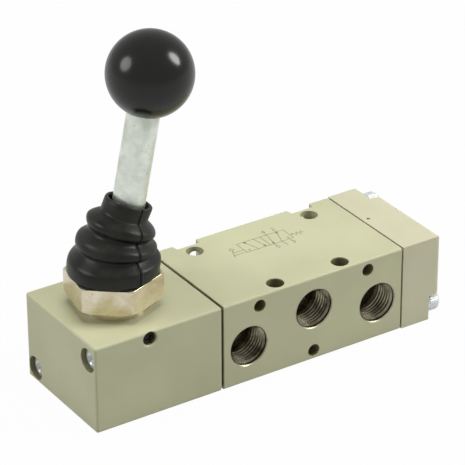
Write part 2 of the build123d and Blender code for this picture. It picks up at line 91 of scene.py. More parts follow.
def srgb(red, green, blue):
    """A colour given in 8-bit display values, as linear RGBA."""
    def linear(value):
        value = value / 255
        return value / 12.92 if value <= 0.04045 else ((value + 0.055) / 1.055) ** 2.4
    return (linear(red), linear(green), linear(blue), 1.0)


def tinted(colour, factor, lift=0.0):
    """A colour with each channel multiplied and lifted, at most 1."""
    return tuple(min(1.0, channel * factor + lift) for channel in colour[:3]) + (1.0,)


def piece_from(name, build, smooth=True):
    """A new object whose mesh is made by build(bm)."""
    bm = bmesh.new()
    build(bm)
    bmesh.ops.recalc_face_normals(bm, faces=bm.faces)
    mesh = bpy.data.meshes.new(name)
    bm.to_mesh(mesh)
    bm.free()
    piece = bpy.data.objects.new(name, mesh)
    bpy.context.scene.collection.objects.link(piece)
    if smooth:
        for polygon in mesh.polygons:
            polygon.use_smooth = True
    return piece


def bridge_rings(bm, rings, closed=True):
    """Faces between rings of vertices, each ring as long as the next."""
    for first, second in zip(rings, rings[1:]):
        count = len(first)
        for i in range(count if closed else count - 1):
            j = (i + 1) % count
            bm.faces.new((first[i], first[j], second[j], second[i]))


def hexagon_reach(turn, apothem):
    """Distance to a hexagon's edge in the direction of a turn, with a flat at turn 0."""
    return apothem / cos((turn + pi / 6) % (pi / 3) - pi / 6)


class Spindle:
    """An axis with a start and two cross directions, on which rings of vertices are set."""

    def __init__(self, place, axis, across=None):
        if across is None:
            across = Vector((0, 0, 1)) if abs(axis.z) < 0.5 else Vector((1, 0, 0))
        self.place = place
        self.axis = axis
        self.across = across
        self.aside = axis.cross(across)

    def point(self, turn, along, radius):
        """The point at a turn about the axis, a distance along it and a radius from it."""
        outward = self.across * cos(turn) + self.aside * sin(turn)
        return self.place + self.axis * along + outward * radius

    def ring(self, bm, along, radius, count, shape=None):
        """A ring of vertices; shape(turn, radius) replaces its radius."""
        ring = []
        for i in range(count):
            turn = 2 * pi * i / count
            reach = shape(turn, radius) if shape else radius
            ring.append(bm.verts.new(self.point(turn, along, reach)))
        return ring


# ------------------------------------------------------------------ shader groups

def feed(tree, value, socket):
    """Gives a socket a number, a colour or another node's output."""
    if isinstance(value, (int, float, tuple)):
        socket.default_value = value
    else:
        tree.links.new(value, socket)


def new_group(name, inputs, outputs):
    """A shader group with named number sockets; returns it and its two end nodes."""
    group = bpy.data.node_groups.new(name, "ShaderNodeTree")
    for label, default in inputs.items():
        socket = group.interface.new_socket(name=label, in_out="INPUT", socket_type="NodeSocketFloat")
        socket.default_value = default
    for label in outputs:
        group.interface.new_socket(name=label, in_out="OUTPUT", socket_type="NodeSocketFloat")
    return group, group.nodes.new("NodeGroupInput"), group.nodes.new("NodeGroupOutput")


def math_node(tree, operation, first, second, clamp=False):
    """A Math node; each value is a socket or a number."""
    node = tree.nodes.new("ShaderNodeMath")
    node.operation = operation
    node.use_clamp = clamp
    feed(tree, first, node.inputs[0])
    feed(tree, second, node.inputs[1])
    return node.outputs[0]


def noise_node(tree, coordinates, scale, detail=3.0, roughness=0.55):
    """Noise over the object's own coordinates; scale is a number or a socket, per metre."""
    node = tree.nodes.new("ShaderNodeTexNoise")
    node.inputs["Detail"].default_value = detail
    node.inputs["Roughness"].default_value = roughness
    feed(tree, coordinates, node.inputs["Vector"])
    feed(tree, scale, node.inputs["Scale"])
    return node.outputs["Fac"]


def range_node(tree, value, low, high, to_low=0.0, to_high=1.0):
    """Maps a value from one range to another, clamped."""
    node = tree.nodes.new("ShaderNodeMapRange")
    for label, number in (("From Min", low), ("From Max", high), ("To Min", to_low), ("To Max", to_high)):
        node.inputs[label].default_value = number
    tree.links.new(value, node.inputs["Value"])
    return node.outputs[0]


def mix_colours(tree, factor, first, second):
    """Mixes two colours; each is a socket or a colour."""
    node = tree.nodes.new("ShaderNodeMix")
    node.data_type = "RGBA"
    feed(tree, factor, node.inputs[0])
    feed(tree, first, node.inputs[6])
    feed(tree, second, node.inputs[7])
    return node.outputs[2]


def object_place(tree):
    """The object's own coordinates."""
    return tree.nodes.new("ShaderNodeTexCoord").outputs["Object"]


def make_edge_wear():
    """Mask of the rubbed convex edges, broken up by noise."""
    group, given, made = new_group(
        "edge wear", {"Edge Radius": 0.4 * MM, "Breakup Scale": 900.0, "Amount": 0.5}, ["Mask"])
    bevel = group.nodes.new("ShaderNodeBevel")
    bevel.samples = 4
    group.links.new(given.outputs["Edge Radius"], bevel.inputs["Radius"])
    geometry = group.nodes.new("ShaderNodeNewGeometry")
    dot = group.nodes.new("ShaderNodeVectorMath")
    dot.operation = "DOT_PRODUCT"
    group.links.new(bevel.outputs[0], dot.inputs[0])
    group.links.new(geometry.outputs["Normal"], dot.inputs[1])
    bend = range_node(group, dot.outputs["Value"], 0.999, 0.93)
    convex = range_node(group, geometry.outputs["Pointiness"], 0.49, 0.51)
    breakup = noise_node(group, object_place(group), given.outputs["Breakup Scale"], detail=4.0)
    patches = range_node(group, breakup, 0.42, 0.62)
    mask = math_node(group, "MULTIPLY", math_node(group, "MULTIPLY", bend, convex), patches)
    mask = math_node(group, "MULTIPLY", mask, given.outputs["Amount"], clamp=True)
    group.links.new(mask, made.inputs["Mask"])
    return group


def make_grain():
    """Fine surface height, sparse specks and a slow colour drift for paints, rubbers and plastics."""
    group, given, made = new_group(
        "fine grain", {"Grain Scale": 2500.0, "Drift Scale": 60.0}, ["Height", "Drift", "Speckle"])
    place = object_place(group)
    fine = noise_node(group, place, given.outputs["Grain Scale"], detail=5.0)
    drift = noise_node(group, place, given.outputs["Drift Scale"])
    group.links.new(fine, made.inputs["Height"])
    group.links.new(drift, made.inputs["Drift"])
    group.links.new(range_node(group, fine, 0.62, 0.74), made.inputs["Speckle"])
    return group


def make_stains():
    """Blotches and pits of handled metal plating."""
    group, given, made = new_group(
        "plating stains", {"Blotch Scale": 220.0, "Pit Scale": 1400.0}, ["Blotch", "Pits", "Height"])
    place = object_place(group)
    blotch = noise_node(group, place, given.outputs["Blotch Scale"], detail=5.0, roughness=0.6)
    pits = noise_node(group, place, given.outputs["Pit Scale"], detail=2.0)
    group.links.new(range_node(group, blotch, 0.35, 0.68), made.inputs["Blotch"])
    group.links.new(range_node(group, pits, 0.66, 0.76), made.inputs["Pits"])
    group.links.new(blotch, made.inputs["Height"])
    return group


def make_tool_marks():
    """Fine unevenness left by turning or drawing."""
    group, given, made = new_group("tool marks", {"Mark Scale": 3500.0}, ["Marks"])
    marks = noise_node(group, object_place(group), given.outputs["Mark Scale"], detail=2.0)
    group.links.new(marks, made.inputs["Marks"])
    return group


EDGE_WEAR = make_edge_wear()
GRAIN = make_grain()
STAINS = make_stains()
TOOL_MARKS = make_tool_marks()


def new_material(name, roughness=0.5, metallic=0.0, specular=0.5):
    """A material with a Principled surface; returns it, its tree and the shader node."""
    material = bpy.data.materials.new(name)
    material.use_nodes = True
    tree = material.node_tree
    surface = tree.nodes["Principled BSDF"]
    surface.inputs["Roughness"].default_value = roughness
    surface.inputs["Metallic"].default_value = metallic
    surface.inputs["Specular IOR Level"].default_value = specular
    return material, tree, surface


def use_group(tree, group, **values):
    """An instance of a shader group with its own values."""
    node = tree.nodes.new("ShaderNodeGroup")
    node.node_tree = group
    for label, value in values.items():
        node.inputs[label.replace("_", " ")].default_value = value
    return node


def add_bump(tree, surface, height, distance, strength):
    """A Bump node into the surface's normal."""
    bump = tree.nodes.new("ShaderNodeBump")
    bump.inputs["Distance"].default_value = distance
    bump.inputs["Strength"].default_value = strength
    tree.links.new(height, bump.inputs["Height"])
    tree.links.new(bump.outputs[0], surface.inputs["Normal"])


# ------------------------------------------------------------------ materials

def paint(name, colour, worn_colour, drift=0.06):
    """Satin powder paint with orange peel, faint drift and rubbed edges."""
    material, tree, surface = new_material(name)
    grain = use_group(tree, GRAIN, Grain_Scale=2600.0, Drift_Scale=45.0)
    wear = use_group(tree, EDGE_WEAR, Edge_Radius=0.35 * MM, Breakup_Scale=240.0, Amount=0.35)
    drifted = range_node(tree, grain.outputs["Drift"], 0.3, 0.7)
    base = mix_colours(tree, drifted, tinted(colour, 1 - 2 * drift), colour)
    base = mix_colours(tree, wear.outputs["Mask"], base, worn_colour)
    tree.links.new(base, surface.inputs["Base Color"])
    rough = range_node(tree, grain.outputs["Height"], 0.3, 0.7, 0.36, 0.52)
    tree.links.new(rough, surface.inputs["Roughness"])
    add_bump(tree, surface, grain.outputs["Height"], 0.03 * MM, 0.35)
    return material


def plated(name, colour, stain_colour, roughness=(0.22, 0.5), metallic=0.9):
    """Plated metal: blotched colour, small pits, tool marks and bright edges."""
    material, tree, surface = new_material(name, metallic=metallic)
    stains = use_group(tree, STAINS, Blotch_Scale=230.0, Pit_Scale=1500.0)
    marks = use_group(tree, TOOL_MARKS, Mark_Scale=3000.0)
    wear = use_group(tree, EDGE_WEAR, Edge_Radius=0.25 * MM, Breakup_Scale=500.0, Amount=0.8)
    base = mix_colours(tree, stains.outputs["Blotch"], colour, stain_colour)
    pitted = math_node(tree, "MULTIPLY", stains.outputs["Pits"], 0.6)
    base = mix_colours(tree, pitted, base, tinted(stain_colour, 0.45))
    base = mix_colours(tree, wear.outputs["Mask"], base, tinted(colour, 1.25))
    tree.links.new(base, surface.inputs["Base Color"])
    rough = range_node(tree, stains.outputs["Height"], 0.3, 0.7, *roughness)
    tree.links.new(rough, surface.inputs["Roughness"])
    add_bump(tree, surface, marks.outputs["Marks"], 0.02 * MM, 0.4)
    return material


def rubber(name, colour, dust_colour):
    """Matte moulded rubber with a dusty, scuffed surface."""
    material, tree, surface = new_material(name, specular=0.25)
    grain = use_group(tree, GRAIN, Grain_Scale=1900.0, Drift_Scale=160.0)
    wear = use_group(tree, EDGE_WEAR, Edge_Radius=0.6 * MM, Breakup_Scale=600.0, Amount=0.35)
    dusty = range_node(tree, grain.outputs["Drift"], 0.35, 0.75, 0.0, 0.5)
    base = mix_colours(tree, dusty, colour, dust_colour)
    specks = math_node(tree, "MULTIPLY", grain.outputs["Speckle"], 0.25)
    base = mix_colours(tree, specks, base, dust_colour)
    base = mix_colours(tree, wear.outputs["Mask"], base, dust_colour)
    tree.links.new(base, surface.inputs["Base Color"])
    rough = range_node(tree, grain.outputs["Drift"], 0.3, 0.7, 0.3, 0.5)
    tree.links.new(rough, surface.inputs["Roughness"])
    add_bump(tree, surface, grain.outputs["Height"], 0.04 * MM, 0.35)
    return material


def gloss_plastic(name, colour, haze_colour):
    """Moulded thermoset: deep gloss under a faint haze."""
    material, tree, surface = new_material(name, specular=0.42)
    grain = use_group(tree, GRAIN, Grain_Scale=700.0, Drift_Scale=90.0)
    hazy = range_node(tree, grain.outputs["Drift"], 0.4, 0.8, 0.0, 0.5)
    tree.links.new(mix_colours(tree, hazy, colour, haze_colour), surface.inputs["Base Color"])
    rough = range_node(tree, grain.outputs["Drift"], 0.3, 0.7, 0.16, 0.26)
    tree.links.new(rough, surface.inputs["Roughness"])
    add_bump(tree, surface, grain.outputs["Height"], 0.01 * MM, 0.15)
    return material


def ink(name, colour):
    """Pad-printed ink with slightly uneven cover."""
    material, tree, surface = new_material(name, roughness=0.5)
    grain = use_group(tree, GRAIN, Grain_Scale=1800.0, Drift_Scale=400.0)
    thin = range_node(tree, grain.outputs["Height"], 0.45, 0.75, 0.0, 0.6)
    base = mix_colours(tree, thin, colour, tinted(colour, 1.9, lift=0.02))
    tree.links.new(base, surface.inputs["Base Color"])
    add_bump(tree, surface, grain.outputs["Height"], 0.01 * MM, 0.3)
    return material


BODY_PAINT = paint("body_paint", srgb(196, 196, 160), srgb(214, 213, 186))
CAP_PAINT = paint("cap_paint", srgb(205, 202, 172), srgb(220, 218, 196))
NICKEL = plated("nickel_plate", srgb(226, 218, 196), srgb(206, 192, 160), roughness=(0.16, 0.28))
ZINC_ROD = plated("zinc_rod", srgb(238, 243, 234), srgb(206, 212, 200), roughness=(0.25, 0.5), metallic=0.85)
# zinc plating, its colour lightened and made less metallic so the heads show white: a painted reflection of the
# lamps
SCREW_ZINC_AND_SHEEN = plated(
    "zinc_screw", srgb(226, 234, 234), srgb(186, 190, 184), roughness=(0.3, 0.5), metallic=0.55)
BLACK_STEEL = plated("black_steel", srgb(58, 56, 50), srgb(36, 34, 30), roughness=(0.3, 0.5))
STEEL = plated("plain_steel", srgb(180, 180, 178), srgb(150, 150, 146))
BRASS = plated("brass", srgb(206, 172, 96), srgb(170, 136, 70))
THREAD_METAL = plated("port_thread", srgb(158, 152, 128), srgb(58, 53, 38), roughness=(0.2, 0.32))
# hole linings: paint darkened to stand for the shade inside holes and recesses, a painted shade
HOLE_SHADE_PAINT = paint("hole_wall_painted_shade", srgb(138, 132, 98), srgb(170, 164, 130), drift=0.12)
MOUTH_METAL = plated("port_mouth", srgb(188, 184, 160), srgb(150, 146, 122), roughness=(0.35, 0.5))
BOOT_RUBBER = rubber("boot_rubber", srgb(22, 23, 19), srgb(60, 61, 52))
SEAL_RUBBER = rubber("seal_rubber", srgb(26, 26, 25), srgb(52, 52, 48))
GASKET = rubber("gasket_fibre", srgb(58, 55, 42), srgb(84, 80, 62))
KNOB = gloss_plastic("knob_plastic", srgb(8, 8, 5), srgb(24, 24, 20))
ACETAL = paint("acetal", srgb(222, 220, 210), srgb(230, 228, 220))
INK = ink("print_ink", srgb(108, 102, 76))

NODE_FINISH = {
    "valve_body": BODY_PAINT, "lever_housing": BODY_PAINT, "end_cap": CAP_PAINT, "gland_nut": NICKEL,
    "lever_rod": ZINC_ROD, "ball_knob": KNOB, "knob_insert": BRASS, "boot": BOOT_RUBBER,
    "return_spring": STEEL, "spool": STEEL, "actuator_plunger": STEEL, "pivot_pin": STEEL,
    "end_cap_screws": SCREW_ZINC_AND_SHEEN, "end_cap_washers": SCREW_ZINC_AND_SHEEN, "housing_screws": SCREW_ZINC_AND_SHEEN,
    "nut_grub_screw": SCREW_ZINC_AND_SHEEN, "nut_gasket": SEAL_RUBBER, "housing_gasket": GASKET,
    "end_cap_gasket": GASKET,
}
for node_name, node in frame["nodes"].items():
    plain_finish = SEAL_RUBBER if node_name.startswith("spool_seal") else ACETAL
    node.data.materials.clear()
    node.data.materials.append(NODE_FINISH.get(node_name, plain_finish))


# ------------------------------------------------------------------ boot

BOOT_BASE = nut_high.z - 1.5 * MM
BOOT_LENGTH = 16.4 * MM
BOOT_BORE = 4.8
BOOT_SEGMENTS = 96
COLLAR_LEAN = radians(20.0)
LEAN_START = 2.0 * MM
LEAN_END = 11.4 * MM
BEND_POWER = 1.7
SEAM_TURNS = (radians(-86.0), radians(94.0))
SEAM_SPACING = 0.018
SEAM_PROFILE = [(0.008, -0.42), (0.025, -0.2), (0.06, 0.1)]
BOOT_OUTLINE = [
    (0.15, 9.9), (0.2, 10.45), (0.7, 10.62), (2.2, 10.7), (3.3, 10.6), (3.75, 10.25), (4.2, 9.5),
    (4.9, 8.6), (5.35, 8.25), (5.55, 8.55), (5.9, 9.1), (6.6, 9.35), (7.4, 9.2), (7.9, 8.6),
    (8.6, 7.4), (9.1, 7.0), (9.5, 7.25), (10.0, 7.8), (10.8, 8.15), (11.6, 8.0), (12.2, 7.3),
    (12.9, 6.1), (13.15, 5.55), (13.35, 5.5), (15.9, 5.6), (16.25, 5.5), (16.4, 5.2), (16.38, 4.75),
    (15.9, 4.6), (13.4, 4.6)]


def boot_station(height):
    """Centre, across and aside directions of the boot's section at a height above its foot."""
    share = max(0.0, min(1.0, (height - LEAN_START) / (LEAN_END - LEAN_START)))
    lean = COLLAR_LEAN * share * share * (3 - 2 * share)
    top_offset = (BOOT_BASE + BOOT_LENGTH - pivot.z) * lever_line.x / lever_line.z
    centre = Vector((pivot.x + top_offset * (height / BOOT_LENGTH) ** BEND_POWER, 0, BOOT_BASE + height))
    return centre, Vector((cos(lean), 0, -sin(lean))), Vector((0, 1, 0))


def mould_seam(turn):
    """Radial step of the parting line at a turn round the boot: a groove between two small lips."""
    off_seam = min(abs((turn - seam + pi) % (2 * pi) - pi) for seam in SEAM_TURNS)
    for half_width, step in SEAM_PROFILE:
        if off_seam < half_width:
            return step
    return 0.0


def rubber_sag(turn, height):
    """Slight unevenness of the rubber round the boot."""
    return 0.06 * sin(3 * turn + height) + 0.04 * sin(5 * turn - 2 * height)


def build_boot(bm):
    """Bellows from the nut to the collar on the rod, outline in millimetres."""
    turns = [2 * pi * i / BOOT_SEGMENTS for i in range(BOOT_SEGMENTS)]
    for seam in SEAM_TURNS:
        turns += [(seam + step * SEAM_SPACING) % (2 * pi) for step in range(-5, 6)]
    turns = sorted(set(round(turn, 5) for turn in turns))
    rings = []
    for height, radius in BOOT_OUTLINE:
        centre, across, aside = boot_station(height * MM)
        ring = []
        for turn in turns:
            unevenness = mould_seam(turn) + rubber_sag(turn, height) if radius > BOOT_BORE else 0.0
            reach = (radius + unevenness) * MM
            ring.append(bm.verts.new(centre + (across * cos(turn) + aside * sin(turn)) * reach))
        rings.append(ring)
    bridge_rings(bm, rings)


def smoothed(piece):
    """Gives the piece its mesh subdivided once."""
    modifier = piece.modifiers.new("smooth", "SUBSURF")
    modifier.levels = 1
    modifier.render_levels = 1
    evaluated = piece.evaluated_get(bpy.context.evaluated_depsgraph_get())
    mesh = bpy.data.meshes.new_from_object(evaluated)
    piece.modifiers.clear()
    piece.data = mesh
    for polygon in mesh.polygons:
        polygon.use_smooth = True
    return piece


boot_piece = smoothed(piece_from("boot_bellows", build_boot))
boot_piece.data.materials.append(BOOT_RUBBER)
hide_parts("boot")
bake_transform(boot_piece)


# ------------------------------------------------------------------ gland nut

NUT_HALF_FLATS = 10.0 * MM
NUT_TURN = radians(21.0)
NUT_TOP_FLAT = 11.1 * MM
NUT_FOOT_FLAT = 10.75 * MM
NUT_FOOT = 24.4 * MM
NUT_COLLAR = 8.4 * MM
NUT_BORE = 8.0 * MM
NUT_LIP = 7.6 * MM
NUT_MOUTH = 6.2 * MM
NUT_THROAT = 4.8 * MM
NUT_THROAT_DEPTH = 3.0 * MM
NUT_BEVEL = tan(radians(30))
NUT_SEGMENTS = 180


def nut_outline(reach):
    """Radii and heights of the nut's section where its hexagon lies at a reach from its axis."""
    top = BOOT_BASE
    seat = block_high.z + 0.02 * MM
    foot_radius = min(reach, NUT_FOOT_FLAT)
    foot_rise = max(0.0, reach - NUT_FOOT_FLAT) * NUT_BEVEL
    top_drop = max(0.0, reach - NUT_TOP_FLAT) * NUT_BEVEL
    return [
        (NUT_BORE, block_high.z - 0.2 * MM), (NUT_BORE, seat), (NUT_COLLAR, seat), (NUT_COLLAR, NUT_FOOT),
        (foot_radius - 0.2 * MM, NUT_FOOT), (foot_radius, NUT_FOOT + 0.03 * MM),
        (reach, NUT_FOOT + 0.08 * MM + foot_rise), (reach, top - 0.05 * MM - top_drop),
        (min(reach, NUT_TOP_FLAT) - 0.05 * MM, top), (NUT_LIP, top), (NUT_LIP, nut_high.z),
        (NUT_MOUTH, nut_high.z), (NUT_THROAT, nut_high.z - NUT_THROAT_DEPTH)]


def build_nut(bm):
    """Hexagon with bevelled corners on a round collar, and the lip that holds the boot."""
    turns = sorted({round(2 * pi * i / NUT_SEGMENTS, 6) for i in range(NUT_SEGMENTS)}
                   | {round((NUT_TURN + pi / 3 * i) % (2 * pi), 6) for i in range(6)})
    columns = []
    for turn in turns:
        reach = hexagon_reach(turn - NUT_TURN - pi / 6, NUT_HALF_FLATS)
        columns.append([(pivot.x + radius * cos(turn), radius * sin(turn), height)
                        for radius, height in nut_outline(reach)])
    bridge_rings(bm, [[bm.verts.new(point) for point in ring] for ring in zip(*columns)])


nut_piece = piece_from("gland_nut_turned", build_nut, smooth=False)
nut_piece.data.materials.append(NICKEL)
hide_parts("gland_nut", "nut_gasket")
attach(nut_piece, "valve")


# ------------------------------------------------------------------ port threads and mouths

PORT_NAMES = ("port_5", "port_1", "port_3", "port_4", "port_2")
PORT_SEGMENTS = 72
THREAD_PITCH = 0.907 * MM
THREAD_DEPTH = 0.52 * MM
THREAD_STEPS = 60
ROOT_HALF_WIDTH = 0.47
CREST_HALF_WIDTH = 0.07
ROOT_BURY = 0.02 * MM
MOUTH_RADIUS = 5.15 * MM
MOUTH_OUTLINE = [(0.01, 0.09), (0.015, 0.0), (-0.27, -0.27), (-0.33, -0.30), (-0.75, -0.30)]
WALL_LINING = 0.01 * MM
WALL_TOP_GAP = 0.1 * MM
FLOOR_STEP = 0.02 * MM
DRILLING_DEPTH = 2.0 * MM
DRILLING_RADII = (2.62 * MM, 2.58 * MM)


class Port(Spindle):
    """A tapped port: it starts at the middle of its thread and points out of the body."""

    def __init__(self, mount):
        super().__init__(Vector(mount["pos_m"]), Vector(mount["axis"]), Vector((1, 0, 0)))
        self.wall = mount["dims"]["r_mm"] * MM
        self.half = mount["dims"]["length_mm"] * MM / 2


def build_port_thread(bm, port):
    """A helical ridge on the port's wall, which fades out at both ends."""
    steps = int((2 * port.half - THREAD_PITCH) / THREAD_PITCH * THREAD_STEPS)
    root = port.wall + ROOT_BURY
    sections = []
    for i in range(steps + 1):
        turn = 2 * pi * i / THREAD_STEPS
        along = -port.half + THREAD_PITCH * (0.5 + i / THREAD_STEPS)
        fade = min(1.0, 2 * i / THREAD_STEPS, 2 * (steps - i) / THREAD_STEPS)
        crest = port.wall - THREAD_DEPTH * fade
        outline = ((-ROOT_HALF_WIDTH, root), (-CREST_HALF_WIDTH, crest),
                   (CREST_HALF_WIDTH, crest), (ROOT_HALF_WIDTH, root))
        sections.append([bm.verts.new(port.point(turn, along + shift * THREAD_PITCH, radius))
                         for shift, radius in outline])
    bridge_rings(bm, sections, closed=False)


def build_port_mouth(bm, port):
    """The bare machined chamfer at the port's mouth, outline in millimetres from the body's face."""
    to_face = abs(body_low.y) - port.place.dot(port.axis)
    bridge_rings(bm, [port.ring(bm, to_face + along * MM, MOUTH_RADIUS + step * MM, PORT_SEGMENTS)
                      for along, step in MOUTH_OUTLINE])


def build_port_wall(bm, port):
    """The port's bare wall behind the thread, its floor and the drilling beyond."""
    wall = port.wall - WALL_LINING
    outline = ((port.half - WALL_TOP_GAP, wall), (FLOOR_STEP - port.half, wall),
               (-FLOOR_STEP - port.half, DRILLING_RADII[0]), (-DRILLING_DEPTH - port.half, DRILLING_RADII[1]))
    bridge_rings(bm, [port.ring(bm, along, radius, PORT_SEGMENTS) for along, radius in outline])


for port_name in PORT_NAMES:
    for label, build, metal in (
            ("thread_", build_port_thread, THREAD_METAL), ("mouth_", build_port_mouth, MOUTH_METAL),
            ("wall_", build_port_wall, THREAD_METAL)):
        piece = piece_from(label + port_name, partial(build, port=Port(mounts[port_name])), smooth=False)
        piece.data.materials.append(metal)
        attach(piece, "valve")


# ------------------------------------------------------------------ painted shade: darker linings of the plain holes

HOLE_INSET = 0.3 * MM
HOLE_LINING = 0.02 * MM
LOW_HOLE_HEIGHT = 2.4 * MM
LOW_HOLE_RADIUS = 1.6 * MM
CROSSING_LOW = 17.4 * MM
CROSSING_FRONT = 7.6 * MM
BLOCK_SCREW_INSET = 2.7 * MM
BLOCK_RECESS_RADIUS = 2.93 * MM
BLOCK_RECESS_START = 0.25 * MM
BLOCK_RECESS_END = 1.8 * MM
LOCKING_HOLE_RADIUS = 1.68 * MM
LOCKING_HOLE_START = 0.4 * MM
LOCKING_HOLE_END = 1.55 * MM

block_screw_places = (
    (block_screw_low.y + BLOCK_SCREW_INSET, block_screw_high.z - BLOCK_SCREW_INSET),
    (block_screw_high.y - BLOCK_SCREW_INSET, block_screw_low.z + BLOCK_SCREW_INSET))
grub_height = (grub_low.z + grub_high.z) / 2


def add_tube(bm, start, end, radius, count=40):
    """An open tube between two points."""
    run = Vector(end) - Vector(start)
    spindle = Spindle(Vector(start), run.normalized())
    bridge_rings(bm, [spindle.ring(bm, along, radius, count) for along in (0.0, run.length)])


def build_body_hole_shade(bm):
    """Darker linings inside the body's mounting holes, a painted shade, open where two of them cross."""
    front = body_low.y + HOLE_INSET
    rear = body_high.y - HOLE_INSET
    side = mounts["side_holes"]
    height = side["pos_m"][2]
    radius = side["dims"]["hole_r_mm"] * MM - HOLE_LINING
    half = side["dims"]["spacing_x_mm"] * MM / 2
    for x in (-half, half):
        add_tube(bm, (x, front, height), (x, CROSSING_FRONT, height), radius)
    add_tube(bm, (0, front, LOW_HOLE_HEIGHT), (0, rear, LOW_HOLE_HEIGHT), LOW_HOLE_RADIUS - HOLE_LINING)
    for name, top in (("front_top_holes", body_high.z - HOLE_INSET), ("rear_top_holes", CROSSING_LOW)):
        y = mounts[name]["pos_m"][1]
        radius = mounts[name]["dims"]["hole_r_mm"] * MM - HOLE_LINING
        half = mounts[name]["dims"]["spacing_x_mm"] * MM / 2
        for x in (-half, half):
            add_tube(bm, (x, y, HOLE_INSET), (x, y, top), radius)


def build_block_hole_shade(bm):
    """Darker linings of the recesses round the block's screws and of the locking screw's hole: painted shade."""
    for y, z in block_screw_places:
        add_tube(bm, (block_low.x + BLOCK_RECESS_START, y, z), (block_screw_low.x + BLOCK_RECESS_END, y, z),
                 BLOCK_RECESS_RADIUS, count=60)
    add_tube(bm, (pivot.x, block_low.y + LOCKING_HOLE_START, grub_height),
             (pivot.x, block_low.y + LOCKING_HOLE_END, grub_height), LOCKING_HOLE_RADIUS)


for label, build in (
        ("body_hole_shade_lining", build_body_hole_shade), ("block_hole_shade_lining", build_block_hole_shade)):
    piece = piece_from(label, build)
    piece.data.materials.append(HOLE_SHADE_PAINT)
    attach(piece, "valve")


# ------------------------------------------------------------------ screws

HEAD_SEGMENTS = 72
HEAD_BEVEL = 0.08
SOCKET_BEVEL = 0.06
KNURL_DEPTH = 0.09 * MM
CROSS_SEGMENTS = 96
CROSS_RINGS = 22
CROSS_TURN = radians(18)
CROSS_ARM_WIDTH = 0.17
CROSS_ARM_LENGTH = 0.62
CROSS_DEPTH = 0.55
BLOCK_SCREW_SEAT = 1.4 * MM
CAP_HEAD_RADIUS = 2.75 * MM
CAP_HEAD_HEIGHT = 3.0 * MM
LOCKING_SEAT = 1.15 * MM


def knurled_reach(turn, radius):
    """Distance to a knurled rim, where every second vertex stands back."""
    return radius - KNURL_DEPTH * (round(turn * HEAD_SEGMENTS / (2 * pi)) % 2)


def add_socket_head(bm, spindle, radius, height, socket, socket_depth, shank_radius, shank, rim_shape=None):
    """Screw with a hexagon socket; the spindle starts in the middle of the head's underside."""
    bevel = HEAD_BEVEL * height
    chamfer = SOCKET_BEVEL * radius
    outline = [
        (-shank, shank_radius, None), (0.0, shank_radius, None), (0.0, radius - bevel, None),
        (bevel, radius, rim_shape), (height - 2 * bevel, radius, rim_shape),
        (height, radius - 2 * bevel, None), (height, socket + chamfer, hexagon_reach),
        (height - chamfer, socket, hexagon_reach), (height - socket_depth, socket, hexagon_reach)]
    rings = [spindle.ring(bm, along, reach, HEAD_SEGMENTS, shape) for along, reach, shape in outline]
    bridge_rings(bm, rings)
    bm.faces.new(rings[-1])
    bm.faces.new(rings[0])


def cross_head_height(x, y, radius, height):
    """Height of a domed head with a cross recess, at a place on the head."""
    arm = min(abs(x), abs(y)) / (CROSS_ARM_WIDTH * radius)
    run = max(abs(x), abs(y)) / (CROSS_ARM_LENGTH * radius)
    recess = max(0.0, min(1.0, (1.0 - arm) * 4)) * max(0.0, min(1.0, (1.0 - run) * 5))
    dome = height * (1 - 0.16 * (hypot(x, y) / radius) ** 3)
    return dome - recess * CROSS_DEPTH * height * (1.15 - run)


def add_cross_head(bm, spindle, radius, height, shank_radius, shank):
    """Pan head with a cross recess; the spindle starts in the middle of the head's underside."""
    outline = ((-shank, shank_radius), (0.0, shank_radius), (0.0, radius * 0.97), (0.1 * height, radius))
    rings = [spindle.ring(bm, along, reach, CROSS_SEGMENTS) for along, reach in outline]
    for step in range(CROSS_RINGS):
        reach = radius * (1 - step / CROSS_RINGS)
        ring = []
        for i in range(CROSS_SEGMENTS):
            turn = 2 * pi * i / CROSS_SEGMENTS
            x = reach * cos(turn + CROSS_TURN)
            y = reach * sin(turn + CROSS_TURN)
            along = cross_head_height(x, y, radius, height)
            ring.append(bm.verts.new(spindle.point(turn, along, reach)))
        rings.append(ring)
    bridge_rings(bm, rings)
    middle = bm.verts.new(spindle.point(0, cross_head_height(0, 0, radius, height), 0))
    last = rings[-1]
    for i in range(CROSS_SEGMENTS):
        bm.faces.new((last[i], last[(i + 1) % CROSS_SEGMENTS], middle))
    bm.faces.new(rings[0])


def build_block_screws(bm):
    """The two cross-head screws that hold the lever block."""
    seat = block_screw_low.x + BLOCK_SCREW_SEAT
    for y, z in block_screw_places:
        add_cross_head(bm, Spindle(Vector((seat, y, z)), Vector((-1, 0, 0))), radius=2.7 * MM,
                       height=1.9 * MM, shank_radius=1.28 * MM, shank=block_screw_high.x - seat)


def build_cap_screws(bm):
    """The two knurled screws that hold the end cap."""
    seat = cap_screw_high.x - CAP_HEAD_HEIGHT
    for y, z in ((cap_screw_low.y + CAP_HEAD_RADIUS, cap_screw_low.z + CAP_HEAD_RADIUS),
                 (cap_screw_high.y - CAP_HEAD_RADIUS, cap_screw_high.z - CAP_HEAD_RADIUS)):
        add_socket_head(bm, Spindle(Vector((seat, y, z)), Vector((1, 0, 0))), radius=CAP_HEAD_RADIUS,
                        height=CAP_HEAD_HEIGHT, socket=1.25 * MM, socket_depth=1.5 * MM,
                        shank_radius=1.48 * MM, shank=seat - cap_screw_low.x, rim_shape=knurled_reach)


def build_locking_screw(bm):
    """The small headless screw that locks the gland nut."""
    seat = grub_low.y + LOCKING_SEAT
    add_socket_head(bm, Spindle(Vector((pivot.x, seat, grub_height)), Vector((0, -1, 0))), radius=1.6 * MM,
                    height=0.5 * MM, socket=0.95 * MM, socket_depth=0.45 * MM, shank_radius=0.9 * MM,
                    shank=grub_high.y - seat)


